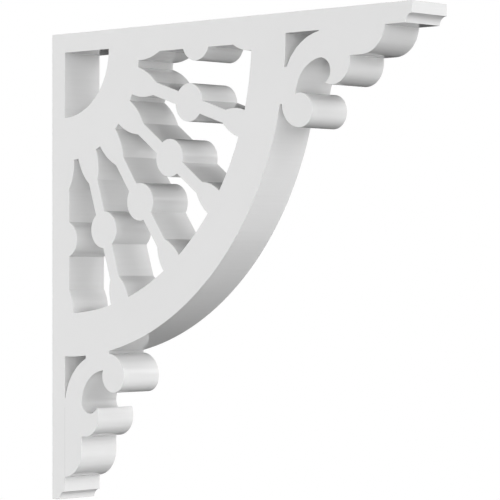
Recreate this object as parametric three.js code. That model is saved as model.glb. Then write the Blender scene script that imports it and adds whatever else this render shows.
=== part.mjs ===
// A white PVC gable bracket: one flat fretwork panel that fits between a wall and a soffit.
// Millimetres, +Z up. The wall is the plane y = 0 and the bracket projects from it along -Y.
// The thickness runs along X, and the origin is the middle of the wall face.
//
// The profile is drawn on the side face in two measures: u, out from the wall, and v, down from
// the soffit. It is the same along the wall as along the soffit, mirrored in the line u = v,
// except that the soffit rail runs out a little further.

import * as THREE from 'three';

// Overall sizes
const HEIGHT = 750;
const PROJECTION = 765;
const THICKNESS = 76;

// The two rails, and the hollow cut into each free end
const RAIL_WIDTH = 30.5;
const COVE_RADIUS = 13;

// The fan, measured from the inner corner where the two rails meet
const HUB_HOLE_RADIUS = 104.5;
const OPENING_COUNT = 5;
const OPENING_START = 174.5;
const ARCH_INNER_RADIUS = 419;
const ARCH_OUTER_RADIUS = 488.8;

// One turned spindle, by its half widths and the distances from the fan's centre
const SPINDLE_HALF_WIDTH = 10.4;
const FOOT_HALF_WIDTH = 21.9;
const FOOT_END = 220;
const FOOT_RISE = 3.6;
const BALL_CENTRE = 300.2;
const BALL_RADIUS = 29.5;
const HEAD_START = 380.3;
const HEAD_HALF_WIDTH = 21;
const HEAD_RISE = 3;

// The scroll under the soffit rail; the one on the wall rail is its mirror image
const END_LOBE = { u: 669.6, v: 26.5, radius: 44.1 };
const MIDDLE_LOBE = { u: 612.7, v: 77.3, radius: 33.7 };
const HOOK_INSIDE = { u: 595.8, v: 126.8, radius: 56.9 };
const HOOK_CROWN_RADIUS = 19.9;
const HOOK_CROWN_ANGLE = -100.8;
const HOOK_OUTSIDE_U = 600.1;
const HOOK_OUTSIDE_RADIUS = 86.9;
const SCROLL_BALL = { u: 548.2, v: 145.1, radius: 25.5 };
const BALL_UNDERSIDE_RADIUS = 36;
const NOTCH_DEPTH_V = 135;

// The small three-sided hole between rail, arch and hook stops short of its two sharp tips
const HOLE_TIP_U = 586;
const HOLE_TIP_V = 80.5;

// How far the short straight edges of an arc may stray from the true curve
const CURVE_TOLERANCE = 0.06;

const radians = THREE.MathUtils.degToRad;
const point = (u, v) => new THREE.Vector2(u, v);
const fanCentre = point(RAIL_WIDTH, RAIL_WIDTH);

// Points along an arc, its two ends included. Angles are in radians, from +u towards +v.
function arc(centre, radius, from, to) {
  const step = 2 * Math.acos(1 - CURVE_TOLERANCE / radius);
  const count = Math.max(1, Math.ceil(Math.abs(to - from) / step));
  const points = [];
  for (let i = 0; i <= count; i += 1) {
    const angle = from + ((to - from) * i) / count;
    points.push(point(
      centre.u + radius * Math.cos(angle),
      centre.v + radius * Math.sin(angle),
    ));
  }
  return points;
}

// The angle at which a point is seen from a centre
function angleOf(centre, target) {
  return Math.atan2(target.y - centre.v, target.x - centre.u);
}

// The same angle, moved by whole turns into the turn that starts at `start`
function angleAfter(start, angle) {
  const turn = 2 * Math.PI;
  return start + THREE.MathUtils.euclideanModulo(angle - start, turn);
}

// The crossing of two circles that lies to the left or right of the way from a to b
function crossing(a, b, side) {
  const way = point(b.u - a.u, b.v - a.v);
  const distance = way.length();
  const along = (a.radius ** 2 - b.radius ** 2 + distance ** 2) / (2 * distance);
  const across = side * Math.sqrt(a.radius ** 2 - along ** 2);
  way.normalize();
  return point(
    a.u + way.x * along - way.y * across,
    a.v + way.y * along + way.x * across,
  );
}

// A shallow arc from one point to another, which rises to one side of the straight line
function bow(from, to, rise) {
  const chord = to.clone().sub(from);
  const length = chord.length();
  const radius = (length ** 2 / 4 + rise ** 2) / (2 * Math.abs(rise));
  const normal = point(-chord.y, chord.x).multiplyScalar(Math.sign(rise) / length);
  const middle = from.clone().add(to).multiplyScalar(0.5);
  const hub = middle.addScaledVector(normal, Math.abs(rise) - radius);
  const centre = { u: hub.x, v: hub.y };
  const start = angleOf(centre, from);
  let end = angleAfter(start, angleOf(centre, to));
  if (end - start > Math.PI) {
    end -= 2 * Math.PI;
  }
  return arc(centre, radius, start, end);
}

// One edge of a spindle, from its foot at the hub out to its head at the arch. `side` is +1 for
// the edge that faces the wall, and -1 for the edge that faces the soffit.
function spindleEdge(angle, side) {
  const along = point(Math.cos(angle), Math.sin(angle));
  const across = point(-along.y, along.x).multiplyScalar(side);
  const at = (distance, halfWidth) => fanCentre.clone()
    .addScaledVector(along, distance)
    .addScaledVector(across, halfWidth);

  const footStart = Math.sqrt(OPENING_START ** 2 - FOOT_HALF_WIDTH ** 2);
  const headEnd = Math.sqrt(ARCH_INNER_RADIUS ** 2 - HEAD_HALF_WIDTH ** 2);
  const ballHub = at(BALL_CENTRE, 0);
  const ball = { u: ballHub.x, v: ballHub.y };
  const outward = Math.atan2(across.y, across.x);
  const halfTurn = Math.acos(SPINDLE_HALF_WIDTH / BALL_RADIUS) * side;

  return [
    ...bow(at(footStart, FOOT_HALF_WIDTH), at(FOOT_END, SPINDLE_HALF_WIDTH), side * FOOT_RISE),
    ...arc(ball, BALL_RADIUS, outward + halfTurn, outward - halfTurn),
    ...bow(at(HEAD_START, SPINDLE_HALF_WIDTH), at(headEnd, HEAD_HALF_WIDTH), side * HEAD_RISE),
  ];
}

// One opening of the fan, between a spindle and the next one
function fanOpening(index) {
  const spacing = radians(90) / OPENING_COUNT;
  const first = index * spacing;
  const last = first + spacing;
  const footAngle = Math.asin(FOOT_HALF_WIDTH / OPENING_START);
  const headAngle = Math.asin(HEAD_HALF_WIDTH / ARCH_INNER_RADIUS);
  const centre = { u: fanCentre.x, v: fanCentre.y };
  return [
    ...spindleEdge(first, 1),
    ...arc(centre, ARCH_INNER_RADIUS, first + headAngle, last - headAngle).slice(1, -1),
    ...spindleEdge(last, -1).reverse(),
    ...arc(centre, OPENING_START, last - footAngle, first + footAngle).slice(1, -1),
  ];
}

// The quarter-round hole at the hub, square in the corner of the rails
function hubHole() {
  const centre = { u: fanCentre.x, v: fanCentre.y };
  return [fanCentre.clone(), ...arc(centre, HUB_HOLE_RADIUS, 0, radians(90))];
}

// Where the outer curve of the arch is at a given depth below the soffit
function archAt(v) {
  return RAIL_WIDTH + Math.sqrt(ARCH_OUTER_RADIUS ** 2 - (v - RAIL_WIDTH) ** 2);
}

// The three-sided hole between the soffit rail, the arch and the back of the hook
function scrollHole() {
  const hook = { u: HOOK_OUTSIDE_U, v: RAIL_WIDTH + HOOK_OUTSIDE_RADIUS };
  const centre = { u: fanCentre.x, v: fanCentre.y };
  const archEnd = Math.asin((HOLE_TIP_V - RAIL_WIDTH) / ARCH_OUTER_RADIUS);
  const hookStart = Math.PI + Math.asin((hook.v - HOLE_TIP_V) / HOOK_OUTSIDE_RADIUS);
  const hookEnd = 2 * Math.PI - Math.acos((HOLE_TIP_U - hook.u) / HOOK_OUTSIDE_RADIUS);
  return [
    point(HOLE_TIP_U, RAIL_WIDTH),
    ...arc(centre, ARCH_OUTER_RADIUS, 0, archEnd),
    ...arc(hook, HOOK_OUTSIDE_RADIUS, hookStart, hookEnd),
  ];
}

// The edge of the scroll, from the soffit rail's underside back to the notch at the arch
function scrollEdge() {
  const lobeStart = Math.asin((RAIL_WIDTH - END_LOBE.v) / END_LOBE.radius);
  const stepV = END_LOBE.v + END_LOBE.radius;
  const stepU = MIDDLE_LOBE.u + MIDDLE_LOBE.radius;

  const crownAngle = radians(HOOK_CROWN_ANGLE);
  const crownReach = HOOK_INSIDE.radius - HOOK_CROWN_RADIUS;
  const crown = {
    u: HOOK_INSIDE.u + crownReach * Math.cos(crownAngle),
    v: HOOK_INSIDE.v + crownReach * Math.sin(crownAngle),
    radius: HOOK_CROWN_RADIUS,
  };
  const beak = crossing(MIDDLE_LOBE, crown, -1);
  const throat = crossing(HOOK_INSIDE, SCROLL_BALL, 1);
  const underside = {
    u: SCROLL_BALL.u,
    v: SCROLL_BALL.v + SCROLL_BALL.radius - BALL_UNDERSIDE_RADIUS,
  };
  const notchSine = (NOTCH_DEPTH_V - underside.v) / BALL_UNDERSIDE_RADIUS;

  const beakOnCrown = angleAfter(crownAngle, angleOf(crown, beak));
  const throatOnHook = angleAfter(-2 * Math.PI + crownAngle, angleOf(HOOK_INSIDE, throat));
  const throatOnBall = angleAfter(-radians(270), angleOf(SCROLL_BALL, throat));
  return [
    ...arc(END_LOBE, END_LOBE.radius, lobeStart, radians(90)),
    point(stepU, stepV),
    ...arc(MIDDLE_LOBE, MIDDLE_LOBE.radius, 0, angleOf(MIDDLE_LOBE, beak)),
    ...arc(crown, HOOK_CROWN_RADIUS, beakOnCrown, crownAngle).slice(1),
    ...arc(HOOK_INSIDE, HOOK_INSIDE.radius, crownAngle, throatOnHook).slice(1),
    ...arc(SCROLL_BALL, SCROLL_BALL.radius, throatOnBall, radians(90)).slice(1),
    ...arc(underside, BALL_UNDERSIDE_RADIUS, radians(90), Math.PI - Math.asin(notchSine)).slice(1),
    point(archAt(NOTCH_DEPTH_V), NOTCH_DEPTH_V),
  ];
}

// The mirror image of a run of points, from the soffit side to the wall side
function mirrored(points) {
  return points.map((p) => point(p.y, p.x)).reverse();
}

// The whole outer edge of the panel, from the corner of wall and soffit round past the two ends
function outerEdge() {
  const centre = { u: fanCentre.x, v: fanCentre.y };
  const notchAngle = Math.asin((NOTCH_DEPTH_V - RAIL_WIDTH) / ARCH_OUTER_RADIUS);
  const soffitCove = { u: PROJECTION, v: RAIL_WIDTH };
  const wallCove = { u: RAIL_WIDTH, v: HEIGHT };
  const scroll = scrollEdge();
  return [
    point(0, 0),
    point(PROJECTION, 0),
    ...arc(soffitCove, COVE_RADIUS, radians(270), radians(180)),
    ...scroll,
    ...arc(centre, ARCH_OUTER_RADIUS, notchAngle, radians(90) - notchAngle).slice(1, -1),
    ...mirrored(scroll),
    ...arc(wallCove, COVE_RADIUS, radians(270), radians(180)),
    point(0, HEIGHT),
  ];
}

// From the side face's measures to the plane that is extruded: out, and up from the middle. The
// order is reversed, so that the outer edge runs anticlockwise there.
function drawn(points) {
  return points.map((p) => point(p.x, HEIGHT / 2 - p.y)).reverse();
}

function makeProfile() {
  const shape = new THREE.Shape(drawn(outerEdge()));
  const holes = [hubHole(), scrollHole(), mirrored(scrollHole())];
  for (let index = 0; index < OPENING_COUNT; index += 1) {
    holes.push(fanOpening(index));
  }
  shape.holes = holes.map((points) => new THREE.Path(drawn(points)));
  return shape;
}

function makePvc() {
  return new THREE.MeshStandardMaterial({ color: 0xf2f2f0, roughness: 0.42, metalness: 0 });
}

// The panel stands on edge: its drawing's "out" is -Y, its "up" is +Z, and it is centred on x = 0
function makeBracket() {
  const geometry = new THREE.ExtrudeGeometry(makeProfile(), {
    depth: THICKNESS,
    bevelEnabled: false,
    curveSegments: 1,
  });
  const bracket = new THREE.Mesh(geometry, makePvc());
  bracket.name = 'bracket';
  const out = new THREE.Vector3(0, -1, 0);
  const up = new THREE.Vector3(0, 0, 1);
  const side = new THREE.Vector3(-1, 0, 0);
  bracket.quaternion.setFromRotationMatrix(new THREE.Matrix4().makeBasis(out, up, side));
  bracket.position.x = THICKNESS / 2;
  return bracket;
}

const group = new THREE.Group();
group.add(makeBracket());

export default group;
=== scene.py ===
import math

import bpy
from mathutils import Matrix, Vector
from mathutils.geometry import tessellate_polygon


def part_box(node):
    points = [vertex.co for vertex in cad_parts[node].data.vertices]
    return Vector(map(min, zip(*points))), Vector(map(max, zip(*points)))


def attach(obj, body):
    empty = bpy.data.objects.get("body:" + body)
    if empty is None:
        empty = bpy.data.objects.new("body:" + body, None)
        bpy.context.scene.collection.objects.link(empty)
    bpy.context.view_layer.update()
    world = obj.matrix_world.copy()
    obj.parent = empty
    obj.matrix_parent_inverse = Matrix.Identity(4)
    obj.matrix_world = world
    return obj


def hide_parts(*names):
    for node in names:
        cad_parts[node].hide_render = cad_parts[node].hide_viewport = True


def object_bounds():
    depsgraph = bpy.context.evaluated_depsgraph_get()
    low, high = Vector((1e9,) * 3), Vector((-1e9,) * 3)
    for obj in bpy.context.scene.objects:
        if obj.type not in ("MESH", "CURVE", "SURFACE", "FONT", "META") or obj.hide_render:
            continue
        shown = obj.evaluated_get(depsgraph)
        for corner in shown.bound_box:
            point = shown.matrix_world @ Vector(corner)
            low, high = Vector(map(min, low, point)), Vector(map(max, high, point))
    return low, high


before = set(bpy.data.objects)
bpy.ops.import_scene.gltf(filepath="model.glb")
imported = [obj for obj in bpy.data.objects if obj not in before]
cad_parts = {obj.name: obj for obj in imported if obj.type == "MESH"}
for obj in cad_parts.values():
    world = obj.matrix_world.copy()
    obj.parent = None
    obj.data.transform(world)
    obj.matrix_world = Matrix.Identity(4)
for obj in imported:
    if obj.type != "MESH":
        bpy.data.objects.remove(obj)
cad_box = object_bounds()

# The rounds along the panel's edges and on its outline's outward corners, in metres
EDGE_EASE = 0.0004
CORNER_EASE = 0.0005
EASE_STEPS = 3
CORNER_STEPS = 4

# Turns of the outline up to which it is shaded round, and from which it gets a round of its own
SMOOTH_TURN = math.radians(18)
CORNER_TURN = math.radians(30)

# The share of a side that a corner's round may take, and the least divisor of an inset's mitre
CORNER_SHARE = 0.45
MITRE_LIMIT = 0.2

# How far from the side face a point may lie and still be on it, in metres, and the digits that match
SAME_PLANE = 0.00001
DIGITS = 7

# The camera, from a fit to the outline in the photograph. Its place is in metres, its turns in degrees
LENS_MM = 181.62
SENSOR_MM = 36
SHIFT = (-0.0085, 0.0604)
CAMERA_AT = (-2.7390, -3.0773, -0.0031)
YAW = 44.147
PITCH = -0.258

# The soft lamps: their width in degrees, then the way from the bracket to each, and its strength.
# A least squares fit to the photograph's tones chose the first ten and gave their strengths. The
# last two are given.
LAMP_SPREAD = 50
LAMPS = (
    ((-1, -1, 0), 1.223),
    ((-1, -0.5, 0), 1.051),
    ((-1, 1, 0), 1.247),
    ((0, -1, -1), 0.644),
    ((0, -1, 0.5), 0.505),
    ((0, -1, 1), 1.031),
    ((0.4, -1, 0.4), 0.527),
    ((1, -1, -1), 0.263),
    ((1, -1, 0), 0.105),
    ((1, -1, 1), 0.377),
    ((1, 0, 0), 1.2),
    ((0, 1, 0.5), 1.0),
)

# The floor, in metres, and the shares of its radius between which it fades into white
FLOOR_RADIUS = 2.2
FLOOR_SIDES = 96
FLOOR_OUT = -0.38
FLOOR_Z = -0.62
FLOOR_COLOUR = (0.8, 0.8, 0.8, 1)
FLOOR_ROUGHNESS = 0.9
FLOOR_GLOW = 0.2
FADE_START = 0.3
FADE_END = 0.95
WHITE = (1, 1, 1, 1)

# The middle half of a noise's range
NOISE_LOW, NOISE_HIGH = 0.25, 0.75

# The PVC. Each noise has its scale and how far it moves the tone, from 0 darker to 1 lighter
WALL_MAP = "walls"
PVC_DARKER = (0.68, 0.68, 0.68, 1)
PVC_LIGHTER = (0.72, 0.72, 0.72, 1)
CLOUD_SCALE = 9
CLOUD_LOW, CLOUD_HIGH = 0.3, 0.7
GRAIN_SCALE = 420
GRAIN_TONE = 0.03
STREAK_SCALE = 170
STREAK_TONE = 0.3

# The roughness of the PVC, and its relief in metres
ROUGHNESS_LOW, ROUGHNESS_HIGH = 0.065, 0.1
ROUGHNESS_SCALE = 14
MARK_ROUGHNESS = 0.02
RELIEF = 0.00003
RELIEF_STRENGTH = 0.12
SKIN_SCALE = 300
MARK_HEIGHT = 0.6
SEAM_DEPTH = 3

# The cutter's marks, long through the thickness, and the x of a normal below which a wall has them
MARK_SCALE = 700
MARK_SQUEEZE = (1, 0.03, 1)
CUT_WALL_X = 0.5

# The hairline on the near side face, in metres: its place is out from the wall and up
SEAM_OUT = 0.0305
SEAM_MIDDLE = -0.2815
SEAM_HALF_LENGTH = 0.0565
SEAM_FADE = 0.002
SEAM_HALF_WIDTH = 0.0004
SEAM_DARKNESS = 0.5
SEAM_COLOUR = (0.2, 0.2, 0.2, 1)
SEAM_REACH = 0.0001


# The outline, as points (u, z): u out from the wall, z up
def side_loops(node):
    """The closed outlines of the node's near side face. The material is on the left of each."""
    mesh = node.data
    near = min(v.co.x for v in mesh.vertices)
    ways = set()
    for polygon in mesh.polygons:
        corners = [mesh.vertices[i].co for i in polygon.vertices]
        if max(c.x for c in corners) - near > SAME_PLANE:
            continue
        ring = [(round(-c.y, DIGITS), round(c.z, DIGITS)) for c in corners]
        for way in zip(ring, ring[1:] + ring[:1]):
            if way[::-1] in ways:
                ways.remove(way[::-1])
            else:
                ways.add(way)
    after = dict(sorted(ways))
    loops = []
    while after:
        start = min(after)
        loop = [start]
        point = after.pop(start)
        while point != start:
            loop.append(point)
            point = after.pop(point)
        loops.append([Vector(p) for p in loop])
    return loops


def signed_area(loop):
    """Positive for the outer outline, negative for an opening."""
    return sum(a.x * b.y - b.x * a.y for a, b in zip(loop, loop[1:] + loop[:1])) / 2


def turning(a, b, c):
    """How far the way from a by b to c turns to the left at b."""
    first = b - a
    second = c - b
    return math.atan2(first.x * second.y - first.y * second.x, first.dot(second))


def eased_corner(a, b, c):
    """The points of a small round in place of the outward corner b."""
    turn = turning(a, b, c)
    first = (b - a).normalized()
    room = CORNER_SHARE * min((b - a).length, (c - b).length)
    radius = min(CORNER_EASE, room / math.tan(turn / 2))
    inward = Vector((-first.y, first.x))
    centre = b - first * radius * math.tan(turn / 2) + inward * radius
    points = []
    for k in range(CORNER_STEPS + 1):
        spoke = inward.copy()
        spoke.rotate(Matrix.Rotation(turn * k / CORNER_STEPS, 2))
        points.append(centre - spoke * radius)
    return points


def eased_loop(loop):
    """The loop with its outward corners eased, as (point, smooth) pairs."""
    eased = []
    for a, b, c in zip(loop[-1:] + loop[:-1], loop, loop[1:] + loop[:1]):
        turn = turning(a, b, c)
        if turn > CORNER_TURN:
            eased += [(p, True) for p in eased_corner(a, b, c)]
        else:
            eased.append((b, abs(turn) < SMOOTH_TURN))
    return eased


# The mesh: rings of points through the thickness, from the near side face to the far one
def ring_places(low, high):
    """Each ring's x, how far it is inset from the outline, and the tilt of its normal to -x."""
    near = []
    for k in range(EASE_STEPS + 1):
        tilt = math.pi / 2 * (1 - k / EASE_STEPS)
        near.append((
            low + EDGE_EASE * (1 - math.sin(tilt)),
            EDGE_EASE * (1 - math.cos(tilt)),
            tilt,
        ))
    far = [(low + high - x, inset, -tilt) for x, inset, tilt in reversed(near)]
    return near + far


def outward_normals(points, smooth):
    """For each point, the outline's normals just before and after it, and the way that an inset takes."""
    count = len(points)
    ways = [points[(i + 1) % count] - points[i] for i in range(count)]
    normals = [Vector((w.y, -w.x)).normalized() for w in ways]
    pairs = []
    for i in range(count):
        before, after = normals[i - 1], normals[i]
        if smooth[i]:
            mean = (before * ways[i - 1].length + after * ways[i].length).normalized()
            pairs.append((mean, mean))
        else:
            pairs.append((before, after))
    mitres = []
    for i in range(count):
        before, after = normals[i - 1], normals[i]
        mitres.append((before + after) / max(MITRE_LIMIT, 1 + before.dot(after)))
    return pairs, mitres


def walls_of(loop, places, start):
    """The walls along an outline: their rings of points, then faces, normals and wall map.

    The first point has the number start. There is a normal and a place on the map for each
    corner of a face, and the map runs along the outline and through the thickness, in metres.
    """
    points, smooth = zip(*eased_loop(loop))
    sides, mitres = outward_normals(points, smooth)
    count = len(points)
    run = [0]
    for a, b in zip(points, points[1:] + points[:1]):
        run.append(run[-1] + (b - a).length)
    rings = []
    for x, inset, tilt in places:
        ring = [p - m * inset for p, m in zip(points, mitres)]
        rings.append([Vector((x, -p.x, p.y)) for p in ring])
    faces, normals, wall_map = [], [], []
    for index in range(len(places) - 1):
        for i in range(count):
            j = (i + 1) % count
            corners = [(index, i), (index + 1, i), (index + 1, j), (index, j)]
            faces.append([start + ring * count + at for ring, at in corners])
            for ring, at in corners:
                before, after = sides[at]
                x, inset, tilt = places[ring]
                across = (after if at == i else before) * math.cos(tilt)
                normals.append((-math.sin(tilt), -across.x, across.y))
                wall_map += (run[i if at == i else i + 1], x)
    return rings, faces, normals, wall_map


def cap_of(rims, toward):
    """The side face within the rims: faces, normals and wall map.

    Each rim is a ring of points with the number of its first one.
    """
    numbers = [start + i for rim, start in rims for i in range(len(rim))]
    points = [p for rim, start in rims for p in rim]
    faces, normals, wall_map = [], [], []
    for triangle in tessellate_polygon([rim for rim, start in rims]):
        a, b, c = (points[i] for i in triangle)
        if (b - a).cross(c - a).x * toward < 0:
            triangle = triangle[::-1]
        faces.append([numbers[i] for i in triangle])
        normals += [(toward, 0, 0)] * len(triangle)
        for i in triangle:
            wall_map += (-points[i].y, points[i].z)
    return faces, normals, wall_map


def make_panel(node, name):
    """The node's shape with eased edges: walls through the thickness, and a cap on each side."""
    low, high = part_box(node.name)
    places = ring_places(low.x, high.x)
    vertices, skins, near_rims, far_rims = [], [], [], []
    for loop in sorted(side_loops(node), key=signed_area, reverse=True):
        start = len(vertices)
        rings, *skin = walls_of(loop, places, start)
        vertices += [p for ring in rings for p in ring]
        skins.append(skin)
        near_rims.append((rings[0], start))
        far_rims.append((rings[-1], len(vertices) - len(rings[-1])))
    skins.append(cap_of(near_rims, -1))
    skins.append(cap_of(far_rims, 1))
    faces, normals, wall_map = (sum(lists, []) for lists in zip(*skins))
    mesh = bpy.data.meshes.new(name)
    mesh.from_pydata(vertices, [], faces)
    mesh.polygons.foreach_set("use_smooth", [True] * len(mesh.polygons))
    mesh.normals_split_custom_set(normals)
    mesh.uv_layers.new(name=WALL_MAP).data.foreach_set("uv", wall_map)
    panel = bpy.data.objects.new(name, mesh)
    bpy.context.scene.collection.objects.link(panel)
    return panel


# The shader nodes
def add_node(tree, kind, inputs=None, **settings):
    """A new shader node with its settings made, and its inputs set or linked by name or number."""
    node = tree.nodes.new(kind)
    for name, value in settings.items():
        setattr(node, name, value)
    for name, value in (inputs or {}).items():
        if isinstance(value, bpy.types.NodeSocket):
            tree.links.new(value, node.inputs[name])
        else:
            node.inputs[name].default_value = value
    return node


def math_of(tree, operation, *values):
    """What a math node gives for these values, which are numbers or sockets."""
    return add_node(tree, "ShaderNodeMath", dict(enumerate(values)), operation=operation).outputs[0]


def noise_of(tree, where, scale, detail=2):
    """A noise between 0 and 1 with about so many waves in a metre as its scale."""
    inputs = {"Vector": where, "Scale": scale, "Detail": detail}
    return add_node(tree, "ShaderNodeTexNoise", inputs).outputs["Fac"]


def spread(tree, value, low, high):
    """The middle half of a noise's range, spread from low to high."""
    inputs = {
        "Value": value,
        "From Min": NOISE_LOW,
        "From Max": NOISE_HIGH,
        "To Min": low,
        "To Max": high,
    }
    return add_node(tree, "ShaderNodeMapRange", inputs).outputs[0]


def fade(tree, value, start, end):
    """1 up to start, 0 from end, and smooth between them."""
    inputs = {"Value": value, "From Min": start, "From Max": end, "To Min": 1, "To Max": 0}
    node = add_node(tree, "ShaderNodeMapRange", inputs, interpolation_type="SMOOTHSTEP")
    return node.outputs[0]


def seam_mask(tree, place):
    """1 along the hairline on the near side face, beside the scroll on the wall rail."""
    x, y, z = add_node(tree, "ShaderNodeSeparateXYZ", {0: place}).outputs
    off_line = math_of(tree, "ABSOLUTE", math_of(tree, "SUBTRACT", y, -SEAM_OUT))
    off_middle = math_of(tree, "ABSOLUTE", math_of(tree, "SUBTRACT", z, SEAM_MIDDLE))
    line = fade(tree, off_line, 0, SEAM_HALF_WIDTH)
    length = fade(tree, off_middle, SEAM_HALF_LENGTH - SEAM_FADE, SEAM_HALF_LENGTH)
    near_face = math_of(tree, "LESS_THAN", x, cad_box[0].x + SEAM_REACH)
    return math_of(tree, "MULTIPLY", math_of(tree, "MULTIPLY", line, length), near_face)


def make_pvc():
    """White PVC board: smooth and slightly uneven, with faint cutter marks on the cut walls."""
    material = bpy.data.materials.new("white_pvc")
    material.use_nodes = True
    tree = material.node_tree
    shader = tree.nodes["Principled BSDF"]
    place = add_node(tree, "ShaderNodeTexCoord").outputs["Object"]
    wall_map = add_node(tree, "ShaderNodeUVMap", uv_map=WALL_MAP).outputs[0]
    along = add_node(tree, "ShaderNodeMapping", {"Vector": wall_map, "Scale": MARK_SQUEEZE}).outputs[0]
    normal = add_node(tree, "ShaderNodeNewGeometry").outputs["Normal"]
    across = add_node(tree, "ShaderNodeSeparateXYZ", {0: normal}).outputs[0]
    on_wall = math_of(tree, "LESS_THAN", math_of(tree, "ABSOLUTE", across), CUT_WALL_X)

    clouds = spread(tree, noise_of(tree, place, CLOUD_SCALE, detail=3), CLOUD_LOW, CLOUD_HIGH)
    grain = spread(tree, noise_of(tree, place, GRAIN_SCALE), -GRAIN_TONE, GRAIN_TONE)
    streaks = spread(tree, noise_of(tree, along, STREAK_SCALE), -STREAK_TONE, STREAK_TONE)
    tone = math_of(tree, "MULTIPLY_ADD", streaks, on_wall, math_of(tree, "ADD", clouds, grain))
    shade = add_node(tree, "ShaderNodeMix", {
        "Factor": tone, "A": PVC_DARKER, "B": PVC_LIGHTER,
    }, data_type="RGBA")
    seam = seam_mask(tree, place)
    dark = math_of(tree, "MULTIPLY", seam, SEAM_DARKNESS)
    colour = add_node(tree, "ShaderNodeMix", {
        "Factor": dark, "A": shade.outputs["Result"], "B": SEAM_COLOUR,
    }, data_type="RGBA")
    tree.links.new(colour.outputs["Result"], shader.inputs["Base Color"])

    marks = math_of(tree, "MULTIPLY", noise_of(tree, along, MARK_SCALE), on_wall)
    rough = spread(tree, noise_of(tree, place, ROUGHNESS_SCALE), ROUGHNESS_LOW, ROUGHNESS_HIGH)
    rough = math_of(tree, "MULTIPLY_ADD", marks, MARK_ROUGHNESS, rough)
    tree.links.new(rough, shader.inputs["Roughness"])

    skin = noise_of(tree, place, SKIN_SCALE)
    relief = math_of(tree, "MULTIPLY_ADD", marks, MARK_HEIGHT, skin)
    relief = math_of(tree, "SUBTRACT", relief, math_of(tree, "MULTIPLY", seam, SEAM_DEPTH))
    bump = add_node(tree, "ShaderNodeBump", {
        "Height": relief, "Strength": RELIEF_STRENGTH, "Distance": RELIEF,
    })
    tree.links.new(bump.outputs[0], shader.inputs["Normal"])
    return material


def make_floor():
    """A round white floor, well below the bracket, which fades into the white round it.

    The camera alone sees it, so it neither lights nor shades the bracket.
    """
    bpy.ops.mesh.primitive_circle_add(
        vertices=FLOOR_SIDES,
        radius=FLOOR_RADIUS,
        fill_type="NGON",
        location=(0, FLOOR_OUT, FLOOR_Z),
    )
    floor = bpy.context.object
    floor.name = "floor"
    floor.visible_diffuse = False
    floor.visible_glossy = False
    floor.visible_shadow = False
    material = bpy.data.materials.new("white_floor")
    material.use_nodes = True
    tree = material.node_tree
    shader = tree.nodes["Principled BSDF"]
    place = add_node(tree, "ShaderNodeTexCoord").outputs["Object"]
    out = add_node(tree, "ShaderNodeVectorMath", {0: place}, operation="LENGTH").outputs["Value"]
    middle = fade(tree, out, FADE_START * FLOOR_RADIUS, FADE_END * FLOOR_RADIUS)
    glow = math_of(tree, "MULTIPLY_ADD", middle, FLOOR_GLOW - 1, 1)
    shader.inputs["Base Color"].default_value = FLOOR_COLOUR
    shader.inputs["Roughness"].default_value = FLOOR_ROUGHNESS
    shader.inputs["Emission Color"].default_value = WHITE
    tree.links.new(glow, shader.inputs["Emission Strength"])
    floor.data.materials.append(material)


def make_camera():
    """The camera in the photograph's place."""
    data = bpy.data.cameras.new("camera")
    data.sensor_width = SENSOR_MM
    data.lens = LENS_MM
    data.shift_x, data.shift_y = SHIFT
    camera = bpy.data.objects.new("camera", data)
    camera.location = CAMERA_AT
    camera.rotation_euler = (math.radians(90 + PITCH), 0, math.radians(YAW - 90))
    bpy.context.scene.collection.objects.link(camera)
    bpy.context.scene.camera = camera


def make_world():
    """White to the camera and dark to the bracket, which the lamps alone light."""
    world = bpy.data.worlds.new("studio")
    world.use_nodes = True
    tree = world.node_tree
    seen = add_node(tree, "ShaderNodeLightPath").outputs["Is Camera Ray"]
    tree.links.new(seen, tree.nodes["Background"].inputs["Strength"])
    tree.nodes["Background"].inputs["Color"].default_value = WHITE
    bpy.context.scene.world = world


def make_lamps():
    """Wide soft suns, which light the bracket alike wherever it is."""
    for toward, strength in LAMPS:
        data = bpy.data.lights.new("softbox", "SUN")
        data.energy = strength
        data.angle = math.radians(LAMP_SPREAD)
        lamp = bpy.data.objects.new("softbox", data)
        lamp.rotation_euler = Vector(toward).to_track_quat("Z", "Y").to_euler()
        bpy.context.scene.collection.objects.link(lamp)


# The scene
panel = make_panel(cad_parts["bracket"], "panel")
panel.data.materials.append(make_pvc())
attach(panel, "root")
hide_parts("bracket")
make_floor()
make_camera()
make_world()
make_lamps()
bpy.context.scene.view_settings.view_transform = "Standard"
